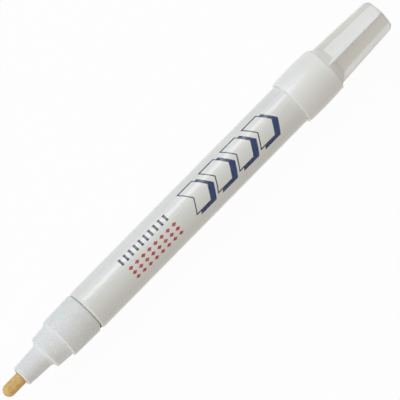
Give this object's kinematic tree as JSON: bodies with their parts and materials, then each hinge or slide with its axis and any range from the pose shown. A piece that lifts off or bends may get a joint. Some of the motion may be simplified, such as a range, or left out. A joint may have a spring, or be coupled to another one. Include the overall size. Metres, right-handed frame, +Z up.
{
  "type": "paint marker",
  "caption": "Paint marker with a white enamelled barrel, a stepped pale nose, a tan bullet nib that works a spring valve, and a fluted cap posted on its tail.",
  "frame": {"origin": "middle of the marker's length and width, on the surface that it lies on", "axes": "+X along the marker from the nib to the cap's end, +Z up, +Y across it"},
  "size_m": [0.155, 0.0154, 0.0155],
  "materials": {
    "barrel_enamel": "gloss",
    "collar_plastic": "satin",
    "gasket_rubber": "matte",
    "nib_fibre": "matte",
    "valve_plastic": "satin",
    "spring_steel": "satin",
    "ball_steel": "polished",
    "cap_plastic": "gloss",
    "liner_plastic": "satin"
  },
  "bodies": {
    "barrel": {"barrel": "barrel_enamel", "nib_collar": "collar_plastic", "collar_gasket": "gasket_rubber", "valve_seat": "valve_plastic", "spring_cage": "valve_plastic", "valve_spring": "spring_steel"},
    "cap": {"cap_shell": "cap_plastic", "cap_liner": "liner_plastic"},
    "nib": {"nib": "nib_fibre"},
    "stem": {"valve_stem": "valve_plastic", "stem_washer": "gasket_rubber"},
    "ball": {"mixing_ball": "ball_steel"}
  },
  "joints": [
    {"name": "cap_pull", "type": "slide", "parent": "barrel", "child": "cap", "axis": [1, 0, 0], "range_m": [0, 0.02]},
    {"name": "nib_press", "type": "slide", "parent": "barrel", "child": "nib", "axis": [1, 0, 0], "range_m": [0, 0.002], "stiffness_N_per_m": 600},
    {"name": "valve_lift", "type": "slide", "parent": "barrel", "child": "stem", "axis": [1, 0, 0], "range_m": [0, 0.002], "deforming": ["valve_spring"]},
    {"name": "ball_roll", "type": "slide", "parent": "barrel", "child": "ball", "axis": [1, 0, 0], "range_m": [0, 0.0739]}
  ],
  "couplings": [
    {"joint": "valve_lift", "follows": "nib_press", "ratio": 1}
  ]
}
